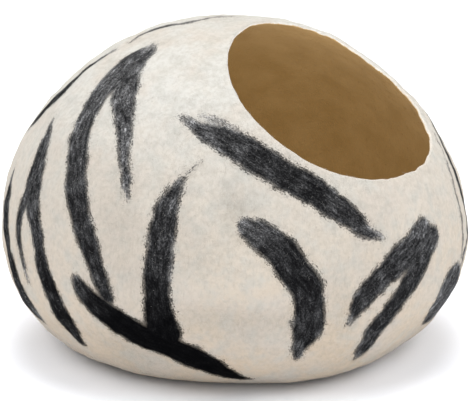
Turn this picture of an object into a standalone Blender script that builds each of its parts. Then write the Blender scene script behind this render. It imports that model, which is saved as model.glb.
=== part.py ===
"""Felt cat cave: one seamless wet-felted wool vessel with a round mouth cut into its upper front.

Metres, +Z up. The origin is on the floor under the middle of the cave. The mouth looks along -Y
and upwards, and the flat foot rests on the floor.

The outside is a rounded pebble: a round plan, and a side view with a fuller bowl below the girth
and a rounder crown above it. Rings of points run over it from the edge of the foot to the lip of
the mouth, each tipped a little further forward than the one below. Soft swells and hollows, as a
hand-felted wall has, push it in and out. A constant wall then gives it its hollow.
"""

import math

import bmesh
import bpy
from mathutils import Vector

# Pebble, outside sizes
HALF_WIDTH = 0.230          # girth, along X
HALF_DEPTH = 0.226          # girth, along Y
GIRTH_HEIGHT = 0.1087       # floor to girth
CROWN_HEIGHT = 0.2086       # girth to top
CROWN_POWER = 1.89          # 2 is an ellipse, less is more pointed
BOWL_DEPTH = 0.1241         # girth to the lowest point of the bowl, before its foot is flattened
BOWL_POWER = 2.48           # more than 2 is fuller, towards a box
CROWN_LEAN = -0.018         # the crown's shift along X
FOOT_ANGLE = math.radians(34.4)     # from straight down to the edge of the foot, seen from the girth
HEEL_HEIGHT = 0.050         # below this the wall curves in to meet the floor

# Mouth
MOUTH_TILT = math.radians(37.7)     # its axis, from straight up towards -Y
MOUTH_ANGLE = math.radians(27.9)    # half of its opening, seen from the girth
MOUTH_WAVES = (             # its hand-cut outline: lobes, cosine share, sine share of the angle
    (2, -0.022, 0.009),
    (3, -0.014, 0.031),
    (4, -0.005, 0.013),
)

# Felt
WALL = 0.005
LIP_ROUND = 0.0019          # rounding of the lip's two edges
LIP_SEGMENTS = 2

# Soft swells and hollows of the wall
SWELLS = (
    # bearing from +X, rise above the girth, spread (degrees, from the middle), push out (metres)
    (105, 76, 12, 0.0010),
    (-36, 60, 9, 0.0025),
    (-63, -11, 8, -0.0025),
    (-70, -20, 7, 0.0010),
    (-83, -29, 9, -0.0040),
    (-98, -32, 9, 0.0010),
    (-115, -32, 9, 0.0040),
    (-135, -32, 10, -0.0015),
    (-155, -32, 9, -0.0025),
    (165, -27, 8, -0.0015),
    (151, -19, 7, 0.0020),
    (136, 12, 10, 0.0005),
    (130, 32, 10, -0.0010),
    (-140, 18, 8, -0.0032),
    (-137, 3, 7, 0.0016),
    (-146, -5, 8, -0.0018),
    (-117, -5, 8, -0.0024),
    (178, 12, 10, 0.0014),
    (-20, 8, 13, -0.0024),
    (-5, 34, 12, 0.0020),
    (25, -8, 12, 0.0018),
    (55, 22, 13, -0.0030),
    (88, -6, 12, -0.0022),
    (120, 24, 12, 0.0022),
)

# Mesh
POINTS_AROUND = 60
RINGS = 28


def ring_direction(way, turn):
    """Unit direction from the middle at the girth. way runs from 0, the foot, to 1, the lip."""
    tip = MOUTH_TILT * way
    axis = Vector((0, math.sin(tip), -math.cos(tip)))
    across = Vector((1, 0, 0))
    down_slope = Vector((0, -math.cos(tip), -math.sin(tip)))
    wave = sum(c * math.cos(lobes * turn) + s * math.sin(lobes * turn) for lobes, c, s in MOUTH_WAVES)
    mouth = MOUTH_ANGLE * (1 + wave * way ** 2)
    angle = FOOT_ANGLE + way * (math.pi - FOOT_ANGLE - mouth)
    outward = math.cos(turn) * across + math.sin(turn) * down_slope
    return math.cos(angle) * axis + math.sin(angle) * outward


def heel(height):
    """Height above the floor once the bowl's underside curves in to lie flat on it."""
    if height >= HEEL_HEIGHT:
        return height
    share = max(height / HEEL_HEIGHT, 0)
    return HEEL_HEIGHT * share ** 2 * (2 - share)


def pebble_point(direction):
    """Point of the plain pebble in this direction from the middle."""
    flat = math.hypot(direction.x, direction.y)
    upright = abs(direction.z)
    power, rise = (CROWN_POWER, CROWN_HEIGHT) if direction.z > 0 else (BOWL_POWER, BOWL_DEPTH)
    reach = (flat ** power + upright ** power) ** (-1 / power)
    height = GIRTH_HEIGHT + rise * reach * direction.z
    lean = CROWN_LEAN * max(height / (GIRTH_HEIGHT + CROWN_HEIGHT), 0) ** 2
    x = HALF_WIDTH * reach * direction.x + lean
    y = HALF_DEPTH * reach * direction.y
    return Vector((x, y, heel(height)))


def compass(bearing, rise):
    """Unit direction for a bearing and a rise in degrees."""
    b, r = math.radians(bearing), math.radians(rise)
    return Vector((math.cos(b) * math.cos(r), math.sin(b) * math.cos(r), math.sin(r)))


def wall_point(way, turn):
    """Point of the outside, swells included. The foot's edge stays on the floor."""
    point = pebble_point(ring_direction(way, turn))
    out = (point - Vector((0, 0, GIRTH_HEIGHT))).normalized()
    push = 0
    for bearing, rise, spread, height in SWELLS:
        apart = math.degrees(out.angle(compass(bearing, rise), 0))
        push += height * math.exp(-0.5 * (apart / spread) ** 2)
    lift = min(point.z / HEEL_HEIGHT, 1)
    return point + push * Vector((out.x, out.y, out.z * lift))


def outside_rings():
    """Rings of points from the foot to the lip, centred over the origin."""
    turns = [2 * math.pi * k / POINTS_AROUND for k in range(POINTS_AROUND)]
    rings = [[wall_point(ring / RINGS, turn) for turn in turns] for ring in range(RINGS + 1)]
    points = [point for ring in rings for point in ring]
    middle_x = (min(p.x for p in points) + max(p.x for p in points)) / 2
    middle_y = (min(p.y for p in points) + max(p.y for p in points)) / 2
    return [[p - Vector((middle_x, middle_y, 0)) for p in ring] for ring in rings]


def shell_mesh():
    """Open skin of the outside, with the flat foot as its floor."""
    bm = bmesh.new()
    rings = [[bm.verts.new(point) for point in ring] for ring in outside_rings()]
    for low, high in zip(rings, rings[1:]):
        for k in range(POINTS_AROUND):
            following = (k + 1) % POINTS_AROUND
            bm.faces.new((low[k], high[k], high[following], low[following]))
    bm.faces.new(rings[0])
    bm.normal_update()
    mesh = bpy.data.meshes.new("felt_shell")
    bm.to_mesh(mesh)
    bm.free()
    return mesh


def wool_material():
    """Cream wool felt, the outer layer, matt and slightly fuzzy."""
    material = bpy.data.materials.new("wool_felt")
    material.use_nodes = True
    shader = material.node_tree.nodes["Principled BSDF"]
    shader.inputs["Base Color"].default_value = (0.67, 0.62, 0.55, 1)
    shader.inputs["Roughness"].default_value = 0.95
    shader.inputs["Metallic"].default_value = 0
    shader.inputs["Sheen Weight"].default_value = 0.3
    return material


def main():
    for old in list(bpy.data.objects):
        bpy.data.objects.remove(old)
    mesh = shell_mesh()
    mesh.materials.append(wool_material())
    shell = bpy.data.objects.new("felt_shell", mesh)
    bpy.context.scene.collection.objects.link(shell)
    mesh.shade_smooth()

    wall = shell.modifiers.new("wall", "SOLIDIFY")
    wall.thickness = WALL
    wall.offset = -1
    wall.use_even_offset = True
    wall.use_quality_normals = True

    lip = shell.modifiers.new("lip", "BEVEL")
    lip.limit_method = "ANGLE"
    lip.angle_limit = math.radians(60)
    lip.width = LIP_ROUND
    lip.segments = LIP_SEGMENTS


main()
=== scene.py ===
"""Felt cat cave, dressed: one seamless wet-felted wool vessel standing on a pale floor.

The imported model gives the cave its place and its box. This file gives it the wool: the fine, slightly
lumpy skin of hand felting, the charcoal tabby stripes felted into the cream, the camel inner layer,
the rubbed lip and the loose hair. Lengths are metres unless a name ends in _mm. A place on the cave is
a compass direction from its middle at the girth: a bearing in degrees from +X, anticlockwise seen from
above (the mouth is at -90), and a rise in degrees above the girth.
"""

from __future__ import annotations

import logging
import math
from collections.abc import Callable
from dataclasses import dataclass, field
from enum import Enum
from functools import partial, reduce
from typing import Any

import bpy
import numpy as np
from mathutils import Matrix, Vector, noise


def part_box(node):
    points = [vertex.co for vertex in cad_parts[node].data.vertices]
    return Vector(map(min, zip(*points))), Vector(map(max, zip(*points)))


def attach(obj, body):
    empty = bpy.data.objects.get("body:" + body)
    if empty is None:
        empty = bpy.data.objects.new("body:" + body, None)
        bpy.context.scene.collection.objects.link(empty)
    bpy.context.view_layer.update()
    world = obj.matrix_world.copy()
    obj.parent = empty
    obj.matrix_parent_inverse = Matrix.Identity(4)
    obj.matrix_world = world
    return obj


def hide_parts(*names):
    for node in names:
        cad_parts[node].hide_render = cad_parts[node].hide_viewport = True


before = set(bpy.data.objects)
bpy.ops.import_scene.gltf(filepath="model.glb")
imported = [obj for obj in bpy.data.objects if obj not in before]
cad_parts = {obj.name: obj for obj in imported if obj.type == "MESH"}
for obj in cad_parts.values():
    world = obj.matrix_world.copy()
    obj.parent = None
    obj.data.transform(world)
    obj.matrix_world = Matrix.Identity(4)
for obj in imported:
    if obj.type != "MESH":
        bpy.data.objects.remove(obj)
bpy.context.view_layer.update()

Array = np.ndarray
Socket = bpy.types.NodeSocket
AddNode = Callable[..., Any]                            # add_node for one tree
Fade = tuple[float, float, float, float]                # a range, and the range that it becomes
Relief = tuple[tuple[float, float], ...]                # width and height of each size of lump, mm
Stations = tuple[tuple[float, float, float, float], ...]    # bearing, rise, width in mm, amount

LOG = logging.getLogger("felt_cat_cave")
MM = 0.001
FAR_MM = 60.0               # stripe distance given to wool that no stripe is near
POINTS_AT_ONCE = 4096       # how many points are measured against a trail together
SEED_MOVE = np.array([1.0, 1.7, 2.3])       # how far a seed of 1 moves lumps


# ---- Small helpers ----

def linear(colour: str) -> tuple[float, float, float, float]:
    """Turns an sRGB hex colour into linear red, green, blue and alpha.

    Args:
        colour: six hex digits after a #.

    Returns:
        Four linear values, the last one 1.
    """
    parts = [int(colour[k:k + 2], 16) / 255 for k in (1, 3, 5)]
    return (*(c / 12.92 if c <= 0.04045 else ((c + 0.055) / 1.055) ** 2.4 for c in parts), 1.0)


def per_size(size_mm: float) -> float:
    """Noise scale, on coordinates in metres, whose features are about size_mm across."""
    return 1000 / size_mm


def smoothstep(value: Array) -> Array:
    """Eases 0..1 in and out, and holds it at 0 and 1 outside."""
    held = np.clip(value, 0, 1)
    return held * held * (3 - 2 * held)


def bell(off: Array, spread: Array | float) -> Array:
    """1 where off is 0, fading to both sides over spread."""
    return np.exp(-0.5 * (off / spread) ** 2)


def unit(vectors: Array) -> Array:
    """The same (..., 3) vectors with length 1."""
    return vectors / np.linalg.norm(vectors, axis=-1, keepdims=True)


def lumps(points: Array, relief: Relief, seed: float) -> Array:
    """Height of smooth lumps at many points.

    Args:
        points: (n, 3) places in metres.
        relief: width and height of each size of lump, in mm.
        seed: moves the pattern.

    Returns:
        (n,) heights in mm.
    """
    height = np.zeros(len(points))
    for k, (wide, tall) in enumerate(relief):
        scaled = points * per_size(wide) + (seed + k) * SEED_MOVE
        height += tall * np.array([noise.noise(Vector(place)) for place in scaled.tolist()])
    return height


def compass(bearing: Array | float, rise: Array | float) -> Array:
    """Unit directions, (..., 3), for bearings and rises in degrees."""
    b, r = np.radians(bearing), np.radians(rise)
    return np.stack([np.cos(b) * np.cos(r), np.sin(b) * np.cos(r), np.sin(r)], axis=-1)


def add_object(name: str, data: bpy.types.ID) -> bpy.types.Object:
    """Puts a mesh, lamp or camera into the scene as an object at the origin."""
    made = bpy.data.objects.new(name, data)
    bpy.context.scene.collection.objects.link(made)
    return made


def aim(thing: bpy.types.Object, direction: Vector) -> None:
    """Turns a lamp or camera so that it looks along a direction."""
    thing.rotation_mode = "QUATERNION"
    thing.rotation_quaternion = direction.to_track_quat("-Z", "Y")


def store(mesh: bpy.types.Mesh, name: str, values: Array) -> None:
    """Keeps one number, or one vector, for each point of a mesh."""
    kind, key = ("FLOAT", "value") if values.ndim == 1 else ("FLOAT_VECTOR", "vector")
    mesh.attributes.new(name, kind, "POINT").data.foreach_set(key, values.ravel())


# ---- Nodes ----

class Kind(Enum):
    """A kind of node: Blender's type, its inputs in the order used here, settings and output."""

    PLACE = ("ShaderNodeTexCoord", (), {}, "Object")
    WAY_OUT = ("ShaderNodeTexCoord", (), {}, "Generated")
    STORED = ("ShaderNodeAttribute", (), {}, "Fac")
    STORED_VECTOR = ("ShaderNodeAttribute", (), {}, "Vector")
    SUM = ("ShaderNodeMath", ("Value", "Value_001"), {"operation": "ADD"}, "Value")
    LESS = ("ShaderNodeMath", ("Value", "Value_001"), {"operation": "SUBTRACT"}, "Value")
    PRODUCT = ("ShaderNodeMath", ("Value", "Value_001"), {"operation": "MULTIPLY"}, "Value")
    LARGER = ("ShaderNodeMath", ("Value", "Value_001"), {"operation": "MAXIMUM"}, "Value")
    WITHOUT_SIGN = ("ShaderNodeMath", ("Value",), {"operation": "ABSOLUTE"}, "Value")
    POWER_OF_E = ("ShaderNodeMath", ("Value",), {"operation": "EXPONENT"}, "Value")
    FADE = ("ShaderNodeMapRange", ("Value", "From Min", "From Max", "To Min", "To Max"),
            {"clamp": True}, "Result")
    DRAWN = ("ShaderNodeMapping", ("Vector", "Scale", "Rotation"), {}, "Vector")
    NOISE = ("ShaderNodeTexNoise", ("Vector", "Scale", "Detail", "Roughness", "Distortion"), {}, "Fac")
    BLEND = ("ShaderNodeMix", ("Factor_Float", "A_Color", "B_Color"), {"data_type": "RGBA"},
             "Result_Color")
    MIX = ("ShaderNodeMix", ("Factor_Float", "A_Float", "B_Float"), {"data_type": "FLOAT"},
           "Result_Float")
    HEIGHT = ("ShaderNodeSeparateXYZ", ("Vector",), {}, "Z")
    VECTOR = ("ShaderNodeCombineXYZ", ("X", "Y", "Z"), {}, "Vector")
    BUMP = ("ShaderNodeBump", ("Strength", "Distance", "Height"), {}, "Normal")
    SURFACE = ("ShaderNodeBsdfPrincipled", (
        "Base Color", "Roughness", "Specular IOR Level", "Sheen Weight", "Sheen Roughness", "Sheen Tint",
        "Normal"), {}, "BSDF")
    FINISH = ("ShaderNodeOutputMaterial", ("Surface",), {}, None)
    LIGHT = ("ShaderNodeBackground", ("Color", "Strength"), {}, "Background")
    WORLD = ("ShaderNodeOutputWorld", ("Surface",), {}, None)
    GIVEN = ("NodeGroupInput", (), {}, None)
    NAMED = ("GeometryNodeInputNamedAttribute", ("Name",), {"data_type": "FLOAT"}, "Attribute")
    SCATTER = ("GeometryNodeDistributePointsOnFaces", ("Mesh", "Density", "Seed"), {}, None)
    SPAN = ("GeometryNodeCurveQuadraticBezier", ("Resolution", "Start", "Middle", "End"), {}, "Curve")
    ALONG = ("GeometryNodeSplineParameter", (), {}, "Factor")
    CIRCLE = ("GeometryNodeCurvePrimitiveCircle", ("Resolution", "Radius"), {}, "Curve")
    TUBE = ("GeometryNodeCurveToMesh", ("Curve", "Profile Curve", "Scale", "Fill Caps"), {}, "Mesh")
    SINGLE = ("GeometryNodeGeometryToInstance", ("Geometry",), {}, "Instances")
    BUNDLE = ("GeometryNodeJoinGeometry", (), {}, None)
    RANDOM = ("FunctionNodeRandomValue", ("Min_001", "Max_001", "Seed"), {"data_type": "FLOAT"},
              "Value_001")
    RANDOM_VECTOR = ("FunctionNodeRandomValue", ("Min", "Max", "Seed"), {"data_type": "FLOAT_VECTOR"},
                     "Value")
    SPIN = ("FunctionNodeAxisAngleToRotation", ("Axis", "Angle"), {}, "Rotation")
    TURN = ("FunctionNodeRotateRotation", ("Rotation", "Rotate By"), {"rotation_space": "LOCAL"},
            "Rotation")
    PLANT = ("GeometryNodeInstanceOnPoints", (
        "Points", "Instance", "Pick Instance", "Rotation", "Scale"), {}, "Instances")
    REALIZE = ("GeometryNodeRealizeInstances", ("Geometry",), {}, "Geometry")
    DRESS = ("GeometryNodeSetMaterial", ("Geometry", "Material"), {}, "Geometry")
    RESULT = ("NodeGroupOutput", ("Socket_7",), {}, None)


def add_node(
    tree: bpy.types.NodeTree, kind: Kind, *values: object, **settings: object,
) -> Socket | bpy.types.Node:
    """Adds a node, with its settings, values and links.

    Args:
        tree: the node tree that gets it.
        kind: the kind of node.
        *values: a value, or an output socket to link from, for each of the kind's inputs in order.
        **settings: more properties of the node itself.

    Returns:
        The kind's output socket, or the node where the kind names none.
    """
    type_name, inputs, always, output = kind.value
    node = tree.nodes.new(type_name)
    for name, value in {**always, **settings}.items():
        setattr(node, name, value)
    sockets = {socket.identifier: socket for socket in node.inputs}
    for name, value in zip(inputs, values):
        if isinstance(value, Socket):
            tree.links.new(value, sockets[name])
        else:
            sockets[name].default_value = value
    return next((socket for socket in node.outputs if socket.identifier == output), node)


def blank(made: bpy.types.Material | bpy.types.World) -> AddNode:
    """Clears the nodes of a material or world, and returns add_node for its tree."""
    made.use_nodes = True
    made.node_tree.nodes.clear()
    return partial(add_node, made.node_tree)


# ---- Shape of the cave ----

@dataclass
class Pebble:
    """Smooth outside of the cave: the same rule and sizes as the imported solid.

    Rings run from the edge of the foot (way 0) to the lip (way 1), each tipped a little further
    forward. turn runs once round a ring, in radians.
    """

    half_width: float = 0.230
    half_depth: float = 0.226
    girth_height: float = 0.1087
    crown_height: float = 0.2086
    crown_power: float = 1.89
    bowl_depth: float = 0.1241
    bowl_power: float = 2.48
    crown_lean: float = -0.018
    foot_angle: float = math.radians(34.4)
    heel_height: float = 0.050
    mouth_tilt: float = math.radians(37.7)
    mouth_angle: float = math.radians(27.9)
    # lobes, cosine share, sine share of the mouth's angle
    mouth_waves: tuple[tuple[int, float, float], ...] = (
        (2, -0.022, 0.009), (3, -0.014, 0.031), (4, -0.005, 0.013),
    )
    # bearing, rise, spread in degrees, push out in metres
    swells: Stations = (
        (105, 76, 12, 0.0010), (-36, 60, 9, 0.0025), (-63, -11, 8, -0.0025), (-70, -20, 7, 0.0010),
        (-83, -29, 9, -0.0040), (-98, -32, 9, 0.0010), (-115, -32, 9, 0.0040), (-135, -32, 10, -0.0015),
        (-155, -32, 9, -0.0025), (165, -27, 8, -0.0015), (151, -19, 7, 0.0020), (136, 12, 10, 0.0005),
        (130, 32, 10, -0.0010), (-140, 18, 8, -0.0032), (-137, 3, 7, 0.0016), (-146, -5, 8, -0.0018),
        (-117, -5, 8, -0.0024), (178, 12, 10, 0.0014), (-20, 8, 13, -0.0024), (-5, 34, 12, 0.0020),
        (25, -8, 12, 0.0018), (55, 22, 13, -0.0030), (88, -6, 12, -0.0022), (120, 24, 12, 0.0022),
    )
    box_grid: tuple[int, int] = (90, 240)       # rings and points round them that measure the box
    middle: Array = field(default_factory=lambda: np.zeros(3))

    def __post_init__(self) -> None:
        """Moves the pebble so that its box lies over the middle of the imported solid's box."""
        rings, around = self.box_grid
        way, turn = np.meshgrid(
            np.linspace(0, 1, rings), np.linspace(0, 2 * math.pi, around), indexing="ij")
        points = self.wall(way, turn).reshape(-1, 3)
        own = (points.min(axis=0) + points.max(axis=0)) / 2
        packed = np.array(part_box("felt_shell")).sum(axis=0) / 2
        self.middle = np.array([own[0] - packed[0], own[1] - packed[1], 0])

    def ring_direction(self, way: Array, turn: Array) -> Array:
        """Directions of points on the rings.

        Args:
            way: from 0 at the foot to 1 at the lip.
            turn: angle round the ring.

        Returns:
            (..., 3) unit directions.
        """
        tip = self.mouth_tilt * way
        wave = sum(c * np.cos(n * turn) + s * np.sin(n * turn) for n, c, s in self.mouth_waves)
        mouth = self.mouth_angle * (1 + wave * way ** 2)
        angle = self.foot_angle + way * (math.pi - self.foot_angle - mouth)
        none = np.zeros_like(tip)
        axis = np.stack([none, np.sin(tip), -np.cos(tip)], axis=-1)
        down_slope = np.stack([none, -np.cos(tip), -np.sin(tip)], axis=-1)
        across = np.array([1.0, 0.0, 0.0])
        outward = np.cos(turn)[..., None] * across + np.sin(turn)[..., None] * down_slope
        return np.cos(angle)[..., None] * axis + np.sin(angle)[..., None] * outward

    def plain(self, direction: Array) -> Array:
        """Points of the pebble before its swells.

        Args:
            direction: (..., 3) unit directions.

        Returns:
            (..., 3) points.
        """
        flat = np.hypot(direction[..., 0], direction[..., 1])
        upper = direction[..., 2] > 0
        power = np.where(upper, self.crown_power, self.bowl_power)
        depth = np.where(upper, self.crown_height, self.bowl_depth)
        reach = (flat ** power + np.abs(direction[..., 2]) ** power) ** (-1 / power)
        height = self.girth_height + depth * reach * direction[..., 2]
        share = np.maximum(height / (self.girth_height + self.crown_height), 0)
        heel = np.maximum(height / self.heel_height, 0)
        eased = self.heel_height * heel ** 2 * (2 - heel)
        return np.stack([
            self.half_width * reach * direction[..., 0] + self.crown_lean * share ** 2,
            self.half_depth * reach * direction[..., 1],
            np.where(height < self.heel_height, eased, height),
        ], axis=-1)

    def swelled(self, points: Array) -> Array:
        """Pushes points in and out where the felt swells or dips.

        Args:
            points: (..., 3) points of the plain pebble.

        Returns:
            (..., 3) points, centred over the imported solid.
        """
        out = unit(points - np.array([0, 0, self.girth_height]))
        push = np.zeros(points.shape[:-1])
        for bearing, rise, spread, height in self.swells:
            apart = np.degrees(np.arccos(np.clip(out @ compass(bearing, rise), -1, 1)))
            push += height * bell(apart, spread)
        out[..., 2] *= np.minimum(points[..., 2] / self.heel_height, 1)
        return points + push[..., None] * out - self.middle

    def wall(self, way: Array, turn: Array) -> Array:
        """Points of the outside on the rings. See ring_direction for the arguments."""
        return self.at(self.ring_direction(way, turn))

    def at(self, direction: Array) -> Array:
        """Points of the outside in compass directions, (..., 3)."""
        return self.swelled(self.plain(direction))


# ---- Stripes and folds ----

@dataclass(frozen=True)
class Course:
    """A trail followed over the cave in short steps: one row for each step."""

    places: Array       # (n, 3) on the surface
    halves: Array       # half widths, metres
    amounts: Array
    runs: Array         # distance from the start, metres
    ahead: Array        # (n, 3) unit directions along the trail
    aside: Array        # (n, 3) unit directions across it


@dataclass(frozen=True)
class Reach:
    """What the points near a trail find at its nearest place: one row for each point."""

    near: Array         # numbers of the points
    apart: Array        # distance, metres
    half: Array
    amount: Array
    comb: Array         # (n, 2) distance along the trail and across it, metres


@dataclass(frozen=True)
class Trail:
    """A line laid over the cave through a few stations.

    Each station is a bearing, a rise, the trail's width in mm, and an amount. For a stripe the
    amount is how densely its charcoal covers, 0 to 1 and more; for a fold it is the height in mm.
    """

    stations: Stations
    step: float = 0.0015            # distance between the places of its course
    cave_radius: float = 0.25       # about the largest, so that no step comes out longer
    narrowest_mm: float = 0.5

    def laid(self, pebble: Pebble) -> Course:
        """Follows the trail over the cave.

        Args:
            pebble: the surface that it lies on.

        Returns:
            The trail's course.
        """
        rows = np.array(self.stations, float)
        knots = np.hstack([compass(rows[:, 0], rows[:, 1]), rows[:, 2:]])
        padded = np.vstack([2 * knots[0] - knots[1], knots, 2 * knots[-1] - knots[-2]])
        pieces = []
        for p0, p1, p2, p3 in zip(padded, padded[1:], padded[2:], padded[3:]):
            count = max(2, math.ceil(self.cave_radius * np.linalg.norm(p2[:3] - p1[:3]) / self.step))
            t = np.linspace(0, 1, count, endpoint=False)[:, None]
            pieces.append(0.5 * (
                2 * p1 + (p2 - p0) * t + (2 * p0 - 5 * p1 + 4 * p2 - p3) * t ** 2
                + (3 * p1 - p0 - 3 * p2 + p3) * t ** 3
            ))
        line = np.vstack([*pieces, knots[-1:]])
        direction = unit(line[:, :3])
        places = pebble.at(direction)
        steps = np.gradient(places, axis=0)
        runs, ahead = np.cumsum(np.linalg.norm(steps, axis=1)), unit(steps)
        halves = np.maximum(line[:, 3], self.narrowest_mm) * MM / 2
        return Course(places, halves, line[:, 4], runs, ahead, unit(np.cross(direction, ahead)))

    def reach(self, pebble: Pebble, points: Array, margin: float, edge: bool) -> Reach:
        """Finds the trail's nearest place for each point that is close enough to matter.

        Args:
            pebble: the surface that the trail lies on.
            points: (n, 3) places.
            margin: points further than this from the trail's outline are left out.
            edge: measures to the trail's edge instead of to its middle.

        Returns:
            What the points near the trail find.
        """
        course = self.laid(pebble)
        centre = course.places.mean(axis=0)
        radius = np.linalg.norm(course.places - centre, axis=1).max() + course.halves.max() + margin
        near = np.flatnonzero(np.linalg.norm(points - centre, axis=1) < radius)
        apart = np.zeros(len(near))
        best = np.zeros(len(near), int)
        for start in range(0, len(near), POINTS_AT_ONCE):
            block = slice(start, start + POINTS_AT_ONCE)
            span = np.linalg.norm(points[near[block], None] - course.places[None], axis=2)
            if edge:
                span -= course.halves
            best[block] = span.argmin(axis=1)
            apart[block] = span[np.arange(len(span)), best[block]]
        off = points[near] - course.places[best]
        comb = np.stack([
            course.runs[best] + (off * course.ahead[best]).sum(axis=1),
            (off * course.aside[best]).sum(axis=1),
        ], axis=1)
        return Reach(near, apart, course.halves[best], course.amounts[best], comb)


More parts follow.
